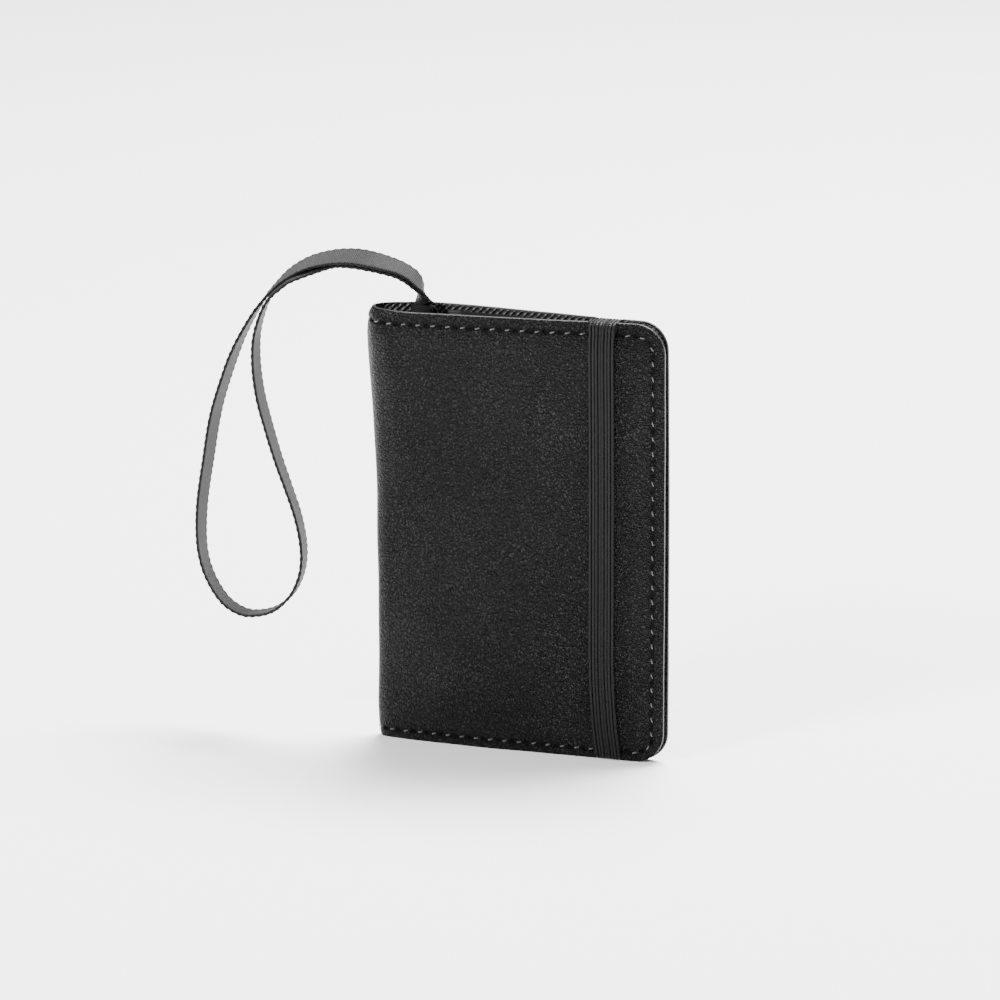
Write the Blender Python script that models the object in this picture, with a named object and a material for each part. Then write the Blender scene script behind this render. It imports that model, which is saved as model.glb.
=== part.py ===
"""A passport wallet that stands closed on its lower edge.

The origin is at the middle of the lower edge. +Z is up, the front cover faces -Y, the spine is at -X and
the fore edge, where the wallet opens, is at +X. Units are metres. The rear cover is the fixed body. Three
folds in the spine turn together, so the front cover can lie flat beside the rear one. An elastic band,
sewn to the rear cover, runs round the closed wallet, and a wrist strap comes out at the top by the spine.
"""

import math

import bpy
from mathutils import Matrix, Vector

# Driving dimensions
HEIGHT = 0.142
WIDTH = 0.097
THICK_FORE = 0.0074
THICK_SPINE = 0.0140
CORNER_RADIUS = 0.010
LEATHER = 0.0009
FOAM = 0.0006
BOARD = 0.0004
FABRIC = 0.0003
LAYER_GAP = 0.00015
CLEARANCE = 0.0003

BAND_X = 0.0283
BAND_WIDTH = 0.0085
BAND_THICK = 0.0009
BAND_NOTCH_DEPTH = 0.0012
BAND_TAIL = 0.0125

STRAP_WIDTH = 0.009
STRAP_THICK = 0.0009
STRAP_PLY = 0.0013
STRAP_TAIL = 0.022
STRAP_EXIT = Vector((-0.0323, 0.0029, HEIGHT + CLEARANCE / 2))

# The spine is a half round of this radius, folded along three lines in the middle of its leather
SPINE_X = -0.040708
SPINE_RADIUS = THICK_SPINE / 2
FOLD_RADIUS = SPINE_RADIUS - LEATHER / 2
COVER_REACH = WIDTH / 2 - SPINE_X
TAPER = math.asin(SPINE_RADIUS / math.hypot(COVER_REACH, THICK_FORE / 2)) - math.atan2(
    THICK_FORE / 2, COVER_REACH
)
FOLD = (math.pi + 2 * TAPER) / 3

# Depths of the outer face of each layer below the leather's outer face
FOAM_DEPTH = LEATHER + LAYER_GAP
BOARD_DEPTH = FOAM_DEPTH + FOAM + LAYER_GAP
LINING_DEPTH = BOARD_DEPTH + BOARD + LAYER_GAP
POCKET_DEPTH = LINING_DEPTH + FABRIC + LAYER_GAP
POCKET_STEP = FABRIC + LAYER_GAP
SPINE_LINING_DEPTH = LEATHER + LAYER_GAP

# Insets of the inner layers from the edge of the leather
LINING_INSET = 0.0015
POCKET_INSET = 0.0020
BOARD_INSET = 0.0055
FOAM_INSET = 0.0070
SLEEVE_START = 0.0185
BINDING_WIDTH = 0.0040
SLIP_POCKET_TOP = 0.104
CARD_POCKET_TOPS = {"upper": 0.078, "lower": 0.052}

ARC_STEPS = 8
STRAP_STEPS = 64

# Centre of the outer ply of the wrist strap, from its exit over the arc to the hanging loop, and back up
# to where it meets the outer ply again: x, y and z in millimetres
STRAP_OUTER = [
    (-32.3, 3.5, 142.7), (-32.4, 3.2, 145.6), (-33.8, 2.4, 148.6), (-37.4, 1.3, 151.8),
    (-42.5, 0.2, 154.4), (-48.2, -1.0, 156.2), (-55.0, -2.0, 157.0), (-62.0, -2.8, 156.4),
    (-69.5, -3.9, 154.2), (-75.6, -4.7, 150.6), (-80.2, -5.2, 146.4), (-86.2, -5.8, 138.9), (-92.8, -6.0, 127.0),
    (-97.6, -6.0, 114.6), (-101.2, -6.0, 102.6), (-103.8, -6.0, 88.0), (-106.0, -6.0, 74.0),
    (-106.4, -6.2, 62.0), (-105.0, -6.5, 53.6), (-101.6, -6.8, 46.4), (-97.0, -7.1, 41.0),
    (-91.0, -7.5, 38.2), (-85.0, -7.8, 38.8),
]
STRAP_INNER = [
    (-80.0, -8.1, 41.2), (-76.0, -8.4, 44.6), (-72.6, -8.7, 49.4), (-70.4, -8.9, 56.0),
    (-70.2, -9.0, 63.6), (-72.0, -9.0, 72.6), (-75.2, -9.0, 81.8), (-78.8, -9.0, 91.6),
    (-82.0, -9.0, 102.0), (-84.4, -9.0, 111.0), (-85.7, -9.0, 120.4), (-85.6, -9.0, 129.6),
    (-83.8, -9.0, 137.0), (-81.0, -8.6, 143.2), (-77.0, -7.8, 147.6), (-72.2, -6.2, 151.0),
]
DOUBLED_POINTS = 8
EDGE_DROP = math.radians(14)
TWIST_LENGTH = 0.020


def clear_scene():
    for item in list(bpy.data.objects):
        bpy.data.objects.remove(item, do_unlink=True)


def material(name, colour, roughness, metallic=0.0):
    surface = bpy.data.materials.new(name)
    surface.use_nodes = True
    shader = surface.node_tree.nodes["Principled BSDF"]
    shader.inputs["Base Color"].default_value = (*colour, 1.0)
    shader.inputs["Roughness"].default_value = roughness
    shader.inputs["Metallic"].default_value = metallic
    return surface


def link(collection, name, data, surface, parent=None):
    item = bpy.data.objects.new(name, data)
    if surface:
        data.materials.append(surface)
    collection.objects.link(item)
    item.parent = parent
    return item


def fold_point(number):
    """Where fold 0, 1 or 2 crosses the floor, counted from the rear cover."""
    angle = FOLD * (number + 0.5) - TAPER
    reach = FOLD_RADIUS / math.cos(FOLD / 2)
    return Vector((SPINE_X - reach * math.sin(angle), reach * math.cos(angle), 0))


def pivot(collection, name, number, heading):
    """An empty on a fold, whose X axis runs along the panel."""
    item = bpy.data.objects.new(name, None)
    item.empty_display_size = 0.01
    item.location = fold_point(number)
    item.rotation_euler = (0, 0, heading)
    collection.objects.link(item)
    return item


def arc(centre, radius, start, end):
    steps = [start + (end - start) * step / ARC_STEPS for step in range(ARC_STEPS + 1)]
    return [(centre[0] + radius * math.cos(a), centre[1] + radius * math.sin(a)) for a in steps]


def outline(start, end, low, high, radius, notch=None):
    """A panel with a straight edge at the spine, rounded corners at the fore edge and band notches."""
    low_edge, high_edge = [(start, low)], [(start, high)]
    if notch:
        for side in (-1, 1):
            across = notch + side * (BAND_WIDTH / 2 + CLEARANCE)
            steps = [0, BAND_NOTCH_DEPTH] if side < 0 else [BAND_NOTCH_DEPTH, 0]
            low_edge += [(across, low + step) for step in steps]
            high_edge += [(across, high - step) for step in steps]
    low_corner = arc((end - radius, low + radius), radius, -math.pi / 2, 0)
    high_corner = arc((end - radius, high - radius), radius, 0, math.pi / 2)
    return low_edge + low_corner + high_corner + high_edge[::-1]


def sheet(collection, name, data_points, thickness, surface, parent=None):
    """A flat outline of x and z points with an even thickness, as a filled 2D curve."""
    data = bpy.data.curves.new(name, "CURVE")
    data.dimensions = "2D"
    data.fill_mode = "BOTH"
    data.extrude = thickness / 2
    spline = data.splines.new("POLY")
    spline.points.add(len(data_points) - 1)
    for point, (across, up) in zip(spline.points, data_points):
        point.co = (across, up, 0, 1)
    spline.use_cyclic_u = True
    item = link(collection, name, data, surface, parent)
    item.rotation_euler = (math.pi / 2, 0, 0)
    return item


def layer(collection, name, parent, side, points, depth, thickness, surface):
    """A sheet that lies depth below the outer face of a panel, whose outside is towards side * Y."""
    item = sheet(collection, name, points, thickness, surface, parent)
    item.location = (0, side * (LEATHER / 2 - depth - thickness / 2), 0)
    return item


def mitre(depth):
    """How far a layer ends from the fold, so that the closed spine pinches nothing."""
    return (depth - LEATHER / 2) * math.tan(FOLD / 2) + LAYER_GAP


def cover(collection, prefix, parent, side, surfaces):
    """The four layers that both covers share: leather, foam, board and lining."""
    length = (WIDTH / 2 - parent.location.x) / math.cos(TAPER) - LEATHER / 2 * math.tan(TAPER)
    notch = (BAND_X - parent.location.x) / math.cos(TAPER)

    def shape(inset, start, notch=None):
        radius = CORNER_RADIUS - min(inset, CORNER_RADIUS / 2)
        return outline(start, length - inset, inset, HEIGHT - inset, radius, notch)

    twill_start = mitre(LINING_DEPTH + FABRIC)
    layers = [
        ("leather", shape(0, mitre(LEATHER), notch), 0, LEATHER, surfaces["leather"]),
        ("foam", shape(FOAM_INSET, FOAM_INSET), FOAM_DEPTH, FOAM, surfaces["foam"]),
        ("board", shape(BOARD_INSET, BOARD_INSET), BOARD_DEPTH, BOARD, surfaces["board"]),
        ("lining", shape(LINING_INSET, twill_start), LINING_DEPTH, FABRIC, surfaces["twill"]),
    ]
    for name, points, depth, thickness, surface in layers:
        layer(collection, f"{prefix}_{name}", parent, side, points, depth, thickness, surface)
    return length


def rear_pockets(collection, parent, length, surfaces):
    """The passport sleeve, sewn on three sides and open towards the spine, and the tape on its mouth."""
    end, low, high = length - POCKET_INSET, POCKET_INSET, HEIGHT - POCKET_INSET
    sleeve = outline(SLEEVE_START, end, low, high, CORNER_RADIUS - POCKET_INSET)
    layer(collection, "passport_sleeve", parent, 1, sleeve, POCKET_DEPTH, FABRIC, surfaces["twill"])
    tape = [
        (SLEEVE_START, low), (SLEEVE_START + BINDING_WIDTH, low),
        (SLEEVE_START + BINDING_WIDTH, high), (SLEEVE_START, high),
    ]
    depth = POCKET_DEPTH + POCKET_STEP
    layer(collection, "passport_sleeve_binding", parent, 1, tape, depth, FABRIC, surfaces["webbing"])


def front_pockets(collection, parent, length, surfaces):
    """A slip pocket behind two card pockets, all open upwards."""
    start, end, low = POCKET_INSET * 2, length - POCKET_INSET, POCKET_INSET
    tops = {"slip_pocket": SLIP_POCKET_TOP}
    tops.update({f"card_pocket_{name}": top for name, top in CARD_POCKET_TOPS.items()})
    radius = CORNER_RADIUS - POCKET_INSET
    for number, (name, top) in enumerate(tops.items()):
        corner = arc((end - radius, low + radius), radius, -math.pi / 2, 0)
        points = [(start, low), *corner, (end, top), (start, top)]
        depth = POCKET_DEPTH + POCKET_STEP * number
        layer(collection, name, parent, -1, points, depth, FABRIC, surfaces["pocket"])


def spine_strip(collection, suffix, parent, surfaces):
    """One of the two strips of the spine, between two folds."""
    length = 2 * FOLD_RADIUS * math.tan(FOLD / 2)
    layers = [
        (f"spine_leather_{suffix}", 0, LEATHER, 0, surfaces["leather"]),
        (f"spine_lining_{suffix}", SPINE_LINING_DEPTH, FABRIC, LINING_INSET, surfaces["twill"]),
    ]
    for name, depth, thickness, inset, surface in layers:
        end = mitre(depth + thickness)
        points = outline(end, length - end, inset, HEIGHT - inset, CLEARANCE)
        layer(collection, name, parent, -1, points, depth, thickness, surface)


def cover_face(x):
    """Distance from the middle plane to the outer face of a closed cover."""
    return (SPINE_RADIUS - (x - SPINE_X) * math.sin(TAPER)) / math.cos(TAPER)


def band_parts(collection, root, surfaces):
    """The band's free stretch round the front, and its two ends sewn to the outside of the rear cover."""
    face = cover_face(BAND_X - BAND_WIDTH / 2) + LAYER_GAP
    outer = face + BAND_THICK
    split = face - 2 * LEATHER
    low_in, high_in = BAND_THICK, HEIGHT - BAND_THICK
    free = [
        (split, 0), (split, low_in), (-face, low_in), (-face, high_in),
        (split, high_in), (split, HEIGHT), (-outer, HEIGHT), (-outer, 0),
    ]
    tail_start = split + CLEARANCE
    ends = {
        "band_sewn_end_lower": [
            (tail_start, 0), (outer, 0), (outer, BAND_TAIL), (face, BAND_TAIL),
            (face, low_in), (tail_start, low_in),
        ],
        "band_sewn_end_upper": [
            (tail_start, HEIGHT), (tail_start, high_in), (face, high_in),
            (face, HEIGHT - BAND_TAIL), (outer, HEIGHT - BAND_TAIL), (outer, HEIGHT),
        ],
    }
    holder = bpy.data.objects.new("elastic_band_slider", None)
    holder.location = (BAND_X, 0, 0)
    collection.objects.link(holder)
    pieces = [("elastic_band", free, holder, 0)]
    pieces += [(name, points, root, BAND_X) for name, points in ends.items()]
    for name, points, parent, x in pieces:
        item = sheet(collection, name, points, BAND_WIDTH, surfaces["elastic"], parent)
        item.rotation_euler = (math.pi / 2, 0, math.pi / 2)
        item.location = (x, 0, 0)


def smooth_route(points, steps):
    """Evenly numbered points on a Catmull-Rom curve through the route."""
    knots = [2 * points[0] - points[1], *points, 2 * points[-1] - points[-2]]
    found = []
    for step in range(steps + 1):
        place = step / steps * (len(points) - 1)
        index = min(int(place), len(points) - 2)
        t = place - index
        a, b, c, d = knots[index : index + 4]
        bend = 2 * a - 5 * b + 4 * c - d
        found.append(0.5 * (2 * b + (c - a) * t + bend * t**2 + (3 * b - a - 3 * c + d) * t**3))
    return found


def width_direction(route, index, travelled):
    """Across the webbing: along X where it leaves the wallet, turning to -Y over the twist."""
    share = min(travelled / TWIST_LENGTH, 1.0)
    turn = (share * share * (3 - 2 * share)) * math.pi / 2
    drop = EDGE_DROP * share
    wanted = Vector((math.cos(turn), -math.sin(turn) * math.cos(drop), -math.sin(turn) * math.sin(drop)))
    before, after = route[max(index - 1, 0)], route[min(index + 1, len(route) - 1)]
    tangent = (after - before).normalized()
    return (wanted - tangent * wanted.dot(tangent)).normalized(), tangent


def travelled_lengths(route):
    lengths = [0.0]
    for before, after in zip(route, route[1:]):
        lengths.append(lengths[-1] + (after - before).length)
    return lengths


def wrist_strap(collection, holder, surfaces):
    """Flat webbing in one run: over the arc, round the hanging loop, and back under its own outer ply."""
    outer = [Vector(point) / 1000 for point in STRAP_OUTER]
    lengths = travelled_lengths(outer)
    under = []
    for index in range(DOUBLED_POINTS):
        across, tangent = width_direction(outer, index, lengths[index])
        under.append(outer[index] + across.cross(tangent) * STRAP_PLY)
    points = outer + [Vector(point) / 1000 for point in STRAP_INNER] + under[::-1]
    route = smooth_route(points, STRAP_STEPS + len(points) // 3)
    lengths = travelled_lengths(route)
    vertices, faces = [], []
    for index, point in enumerate(route):
        near_end = min(lengths[index], lengths[-1] - lengths[index])
        across, tangent = width_direction(route, index, near_end)
        normal = across.cross(tangent)
        for wide, thick in ((-1, -1), (1, -1), (1, 1), (-1, 1)):
            offset = across * (wide * STRAP_WIDTH / 2) + normal * (thick * STRAP_THICK / 2)
            vertices.append(point + offset - STRAP_EXIT)
    for ring in range(len(route) - 1):
        first = 4 * ring
        for k in range(4):
            after = (k + 1) % 4
            faces.append((first + k, first + 4 + k, first + 4 + after, first + after))
    last = 4 * (len(route) - 1)
    faces += [(0, 1, 2, 3), (last + 3, last + 2, last + 1, last)]
    data = bpy.data.meshes.new("wrist_strap")
    data.from_pydata(vertices, [], faces)
    link(collection, "wrist_strap", data, surfaces["webbing"], holder)
    return lengths[-1]


def strap_anchor(collection, parent, surfaces):
    """The two ends of the strap, sewn flat on the rear lining."""
    middle = (STRAP_EXIT.x - parent.location.x) / math.cos(TAPER)
    left, right = middle - STRAP_WIDTH / 2, middle + STRAP_WIDTH / 2
    low = HEIGHT - STRAP_TAIL
    points = [(left, low), (right, low), (right, HEIGHT), (left, HEIGHT)]
    thickness = 2 * STRAP_THICK
    layer(collection, "strap_sewn_end", parent, 1, points, POCKET_DEPTH, thickness, surfaces["webbing"])


def main():
    clear_scene()
    parts = bpy.data.collections.new("passport_wallet")
    bpy.context.scene.collection.children.link(parts)
    surfaces = {
        "leather": material("black_leather", (0.020, 0.020, 0.021), 0.50),
        "twill": material("black_twill", (0.012, 0.012, 0.013), 0.85),
        "pocket": material("pocket_fabric", (0.018, 0.018, 0.020), 0.80),
        "foam": material("grey_foam", (0.10, 0.10, 0.10), 0.95),
        "board": material("grey_board", (0.25, 0.24, 0.22), 0.90),
        "elastic": material("black_elastic", (0.015, 0.015, 0.016), 0.80),
        "webbing": material("grey_webbing", (0.09, 0.09, 0.09), 0.85),
    }
    rear = pivot(parts, "rear_cover_pivot", 0, -TAPER)
    spine_rear = pivot(parts, "spine_rear_pivot", 0, math.pi + FOLD - TAPER)
    spine_front = pivot(parts, "spine_front_pivot", 1, math.pi + 2 * FOLD - TAPER)
    front = pivot(parts, "front_cover_pivot", 2, math.pi + 3 * FOLD - TAPER)

    rear_length = cover(parts, "rear_cover", rear, 1, surfaces)
    front_length = cover(parts, "front_cover", front, -1, surfaces)
    rear_pockets(parts, rear, rear_length, surfaces)
    front_pockets(parts, front, front_length, surfaces)
    spine_strip(parts, "rear", spine_rear, surfaces)
    spine_strip(parts, "front", spine_front, surfaces)
    band_parts(parts, None, surfaces)

    strap_anchor(parts, rear, surfaces)
    strap_pivot = bpy.data.objects.new("wrist_strap_pivot", None)
    strap_pivot.location = STRAP_EXIT
    parts.objects.link(strap_pivot)
    wrist_strap(parts, strap_pivot, surfaces)


main()
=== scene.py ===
"""Looks of the passport wallet: leather covers, stitches, elastic band, lining, pockets and wrist strap.

The covers are sheets on one reference surface. A point on it is (s, z): s runs along the outline from the
rear fore edge round the spine to the front fore edge, and z is the height. Every layer is a closed shell
at some depth below that surface, so the layers never cut through each other.
"""

import math

import bpy
import numpy as np
from mathutils import Matrix, Vector
from mathutils.kdtree import KDTree


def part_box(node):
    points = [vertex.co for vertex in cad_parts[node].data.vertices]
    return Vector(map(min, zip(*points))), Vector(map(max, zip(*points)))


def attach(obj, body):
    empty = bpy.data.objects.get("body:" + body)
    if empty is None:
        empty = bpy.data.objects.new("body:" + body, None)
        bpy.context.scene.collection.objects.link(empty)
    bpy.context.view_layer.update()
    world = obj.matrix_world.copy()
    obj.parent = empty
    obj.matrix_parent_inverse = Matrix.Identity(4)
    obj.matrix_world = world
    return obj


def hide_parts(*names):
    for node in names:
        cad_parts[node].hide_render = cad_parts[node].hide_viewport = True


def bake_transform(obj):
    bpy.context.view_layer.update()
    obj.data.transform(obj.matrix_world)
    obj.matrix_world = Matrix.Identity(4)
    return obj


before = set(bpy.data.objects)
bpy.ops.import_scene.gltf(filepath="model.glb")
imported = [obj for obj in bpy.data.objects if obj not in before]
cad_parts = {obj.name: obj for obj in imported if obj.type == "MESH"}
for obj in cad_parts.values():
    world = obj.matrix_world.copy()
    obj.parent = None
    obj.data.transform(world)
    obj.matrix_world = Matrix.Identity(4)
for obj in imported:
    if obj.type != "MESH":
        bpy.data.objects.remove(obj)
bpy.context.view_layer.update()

MM = 0.001
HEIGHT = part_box("front_cover_leather")[1].z

# ------------------------ camera, floor and light


def add_camera():
    data = bpy.data.cameras.new("camera")
    data.lens = 210.8
    data.sensor_width = 36.0
    data.clip_start = 0.05
    data.clip_end = 20.0
    camera = bpy.data.objects.new("camera", data)
    camera.location = (0.5873, -1.6944, 0.5347)
    camera.rotation_euler = Vector((-0.3208, 0.9149, -0.2449)).to_track_quat("-Z", "Y").to_euler()
    bpy.context.scene.collection.objects.link(camera)
    bpy.context.scene.camera = camera


def add_light(name, place, target, size, power):
    data = bpy.data.lights.new(name, "AREA")
    data.shape = "RECTANGLE"
    data.size, data.size_y = size
    data.energy = power
    light = bpy.data.objects.new(name, data)
    light.location = place
    light.rotation_euler = (Vector(target) - Vector(place)).to_track_quat("-Z", "Y").to_euler()
    bpy.context.scene.collection.objects.link(light)


def add_stage():
    world = bpy.data.worlds.new("studio")
    world.use_nodes = True
    world.node_tree.nodes["Background"].inputs["Color"].default_value = (1.0, 1.0, 1.0, 1.0)
    world.node_tree.nodes["Background"].inputs["Strength"].default_value = 0.5
    bpy.context.scene.world = world

    material = bpy.data.materials.new("floor_paint")
    material.use_nodes = True
    shader = material.node_tree.nodes["Principled BSDF"]
    shader.inputs["Base Color"].default_value = (0.93, 0.93, 0.93, 1.0)
    shader.inputs["Roughness"].default_value = 0.8
    shader.inputs["Specular IOR Level"].default_value = 0.2
    bpy.ops.mesh.primitive_plane_add(size=30.0, location=(0.0, 0.0, 0.0))
    floor = bpy.context.object
    floor.name = "floor"
    floor.data.materials.append(material)

    target = (0.0, 0.0, 0.07)
    add_light("key", (-0.75, -1.45, 1.15), target, (0.40, 0.30), 60.0)
    add_light("top", (0.3, 0.9, 2.1), target, (1.6, 1.0), 280.0)


# ------------------------ materials


def texture(tree, kind, place, **values):
    """A texture at that place. A key of values is one of its properties, or else the name of a socket."""
    made = tree.nodes.new(kind)
    for key, value in values.items():
        if hasattr(made, key):
            setattr(made, key, value)
        else:
            made.inputs[key].default_value = value
    tree.links.new(place, made.inputs["Vector"])
    return made


def noise(tree, place, **values):
    return texture(tree, "ShaderNodeTexNoise", place, **values).outputs[0]


def maths(tree, operation, first, second=None, third=None):
    made = tree.nodes.new("ShaderNodeMath")
    made.operation = operation
    for socket, value in zip(made.inputs, (first, second, third)):
        if value is None:
            continue
        if isinstance(value, (int, float)):
            socket.default_value = value
        else:
            tree.links.new(value, socket)
    return made.outputs[0]


def paint(tree, shader, factor, *stops):
    """The base colour, as a ramp of (position, grey or colour) stops along the factor."""
    made = tree.nodes.new("ShaderNodeValToRGB")
    elements = made.color_ramp.elements
    while len(elements) < len(stops):
        elements.new(0.5)
    for element, (position, colour) in zip(elements, stops):
        element.position = position
        element.color = (colour, colour, colour, 1.0) if isinstance(colour, (int, float)) else (*colour, 1.0)
    tree.links.new(factor, made.inputs[0])
    tree.links.new(made.outputs[0], shader.inputs["Base Color"])


def new_material(name, roughness, specular, sheen=0.0, coat=0.0):
    material = bpy.data.materials.new(name)
    material.use_nodes = True
    shader = material.node_tree.nodes["Principled BSDF"]
    shader.inputs["Roughness"].default_value = roughness
    shader.inputs["Specular IOR Level"].default_value = specular
    shader.inputs["Sheen Weight"].default_value = sheen
    shader.inputs["Sheen Roughness"].default_value = 0.4
    shader.inputs["Coat Weight"].default_value = coat
    return material, material.node_tree, shader


def attribute(tree, name, output):
    made = tree.nodes.new("ShaderNodeAttribute")
    made.attribute_name = name
    return made.outputs[output]


def flat_place(tree):
    """The flat coordinates of the piece, in millimetres: they don't change when it bends."""
    mapping = tree.nodes.new("ShaderNodeMapping")
    mapping.inputs["Scale"].default_value = (1 / MM, 1 / MM, 1 / MM)
    tree.links.new(attribute(tree, "flat", "Vector"), mapping.inputs["Vector"])
    return mapping.outputs[0]


def apply_bump(tree, shader, height, distance, strength):
    bump = tree.nodes.new("ShaderNodeBump")
    bump.inputs["Strength"].default_value = strength
    bump.inputs["Distance"].default_value = distance
    tree.links.new(height, bump.inputs["Height"])
    tree.links.new(bump.outputs[0], shader.inputs["Normal"])


def wave(tree, vector, direction):
    """sin(2 pi vector . direction), from -1 to 1."""
    dot = tree.nodes.new("ShaderNodeVectorMath")
    dot.operation = "DOT_PRODUCT"
    dot.inputs[1].default_value = direction
    tree.links.new(vector, dot.inputs[0])
    return maths(tree, "SINE", maths(tree, "MULTIPLY", dot.outputs["Value"], 2 * math.pi))


def leather_material():
    """Black grained leather: pebbles under a millimetre wide with fine creases between them."""
    material, tree, shader = new_material("black_leather", roughness=0.34, specular=0.15)
    place = flat_place(tree)
    warp = texture(tree, "ShaderNodeTexNoise", place, Scale=0.5, Detail=2.0)
    shifted = tree.nodes.new("ShaderNodeVectorMath")
    shifted.operation = "MULTIPLY_ADD"
    tree.links.new(warp.outputs["Color"], shifted.inputs[0])
    shifted.inputs[1].default_value = (1.6, 1.6, 1.6)
    tree.links.new(place, shifted.inputs[2])
    warped = shifted.outputs[0]
    cells = texture(tree, "ShaderNodeTexVoronoi", warped, feature="F1", Scale=1.4)
    folds = texture(tree, "ShaderNodeTexVoronoi", warped, feature="DISTANCE_TO_EDGE", Scale=0.7)
    fine = noise(tree, place, Scale=1.8, Detail=2.5, Roughness=0.55)
    pebble = maths(tree, "MULTIPLY", cells.outputs["Distance"], -0.9)
    crease = maths(tree, "MINIMUM", maths(tree, "MULTIPLY", folds.outputs["Distance"], 2.5), 0.35)
    height = maths(tree, "ADD", pebble, crease)
    height = maths(tree, "ADD", height, maths(tree, "MULTIPLY", fine, 1.1))
    apply_bump(tree, shader, height, 0.0010, 1.0)

    patches = noise(tree, place, Scale=0.05, Detail=3.0)
    # The pressed mark darkens the colour in the stitch dents: painted shade in the holes. It also roughens
    # them.
    dent_shade_mask = attribute(tree, "pressed", "Fac")
    # The base colour follows the grain's height: painted highlights on the pebbles and painted shade in the
    # creases between them. The broad patches are the leather's own uneven tone.
    shade = maths(tree, "SUBTRACT", maths(tree, "MULTIPLY_ADD", patches, 0.3, height), dent_shade_mask)
    paint(tree, shader, shade, (0.25, 0.0002), (0.52, 0.0010), (0.68, 0.005), (0.88, 0.026))
    rough = maths(tree, "MULTIPLY_ADD", fine, 0.3, 0.22)
    rough = maths(tree, "ADD", rough, maths(tree, "MULTIPLY", dent_shade_mask, 0.4))
    tree.links.new(rough, shader.inputs["Roughness"])
    return material


def edge_material(name, low, high, specular):
    """The cut and painted edge of the leather: smoother and a little lighter than its face."""
    material, tree, shader = new_material(name, roughness=0.4, specular=specular, coat=0.05)
    fine = noise(tree, flat_place(tree), Scale=1.2, Detail=3.0)
    paint(tree, shader, fine, (0.3, low), (0.7, high))
    apply_bump(tree, shader, fine, 0.0001, 0.6)
    return material


def twill_material():
    """Coarse black diagonal weave: ribs 1.5 mm apart, broken into short floats."""
    material, tree, shader = new_material("twill_lining", roughness=0.5, specular=0.45, sheen=0.1)
    place = flat_place(tree)
    rib = wave(tree, place, (0.45, 0.0, 0.5))
    floats = wave(tree, place, (0.40, 0.0, -0.30))
    yarn = noise(tree, place, Scale=3.0, Detail=3.0)
    height = maths(tree, "ADD", rib, maths(tree, "MULTIPLY", floats, 0.5))
    height = maths(tree, "MULTIPLY_ADD", yarn, 0.9, height)
    apply_bump(tree, shader, height, 0.0004, 1.0)
    # Lighter on the crests of the ribs and floats, darker in the hollows: painted highlights and painted
    # shade on the black weave.
    shade = maths(tree, "MULTIPLY_ADD", height, 0.25, 0.35)
    paint(tree, shader, shade, (0.2, 0.0006), (0.5, 0.008), (0.85, 0.16))
    return material


def pocket_material():
    """Black nylon of the pockets: a plain weave with a slight shine."""
    material, tree, shader = new_material("pocket_nylon", roughness=0.55, specular=0.3, sheen=0.06)
    place = flat_place(tree)
    weave = maths(tree, "MULTIPLY", wave(tree, place, (1.9, 0.0, 0.0)), wave(tree, place, (0.0, 0.0, 1.9)))
    slub = noise(tree, place, Scale=0.9, Detail=4.0)
    height = maths(tree, "MULTIPLY_ADD", slub, 1.4, weave)
    apply_bump(tree, shader, height, 0.00012, 0.9)
    paint(tree, shader, maths(tree, "MULTIPLY_ADD", height, 0.25, 0.25), (0.1, 0.004), (0.8, 0.017))
    return material


def tape_material():
    """Grosgrain binding tape: ribs across the tape."""
    material, tree, shader = new_material("binding_tape", roughness=0.5, specular=0.5, sheen=0.2)
    place = flat_place(tree)
    ribs = wave(tree, place, (0.0, 0.0, 1.5))
    fuzz = noise(tree, place, Scale=4.0, Detail=3.0)
    apply_bump(tree, shader, maths(tree, "MULTIPLY_ADD", fuzz, 0.7, ribs), 0.00015, 0.9)
    paint(tree, shader, maths(tree, "MULTIPLY_ADD", ribs, 0.3, 0.5), (0.1, 0.006), (0.9, 0.022))
    return material


def elastic_material():
    """Black covered elastic: rows of small knitted loops, with painted shade darkening the grooves between
    the ribs.
    """
    material, tree, shader = new_material("elastic_knit", roughness=0.5, specular=0.18, sheen=0.02)
    place = flat_place(tree)
    loops = maths(tree, "MULTIPLY", wave(tree, place, (0.85, 0.0, 1.3)), wave(tree, place, (-0.85, 0.0, 1.3)))
    fuzz = noise(tree, place, Scale=3.5, Detail=4.0)
    height = maths(tree, "ADD", fuzz, maths(tree, "MULTIPLY", loops, 0.6))
    apply_bump(tree, shader, height, 0.00012, 0.9)
    shade = maths(tree, "MULTIPLY_ADD", height, 0.2, 0.5)
    # The pressed mark is how deep a point lies in a groove: painted shade in the grooves.
    shade = maths(tree, "SUBTRACT", shade, attribute(tree, "pressed", "Fac"))
    paint(tree, shader, shade, (0.0, 0.0002), (0.5, 0.0016), (0.95, 0.0065))
    return material


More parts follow.
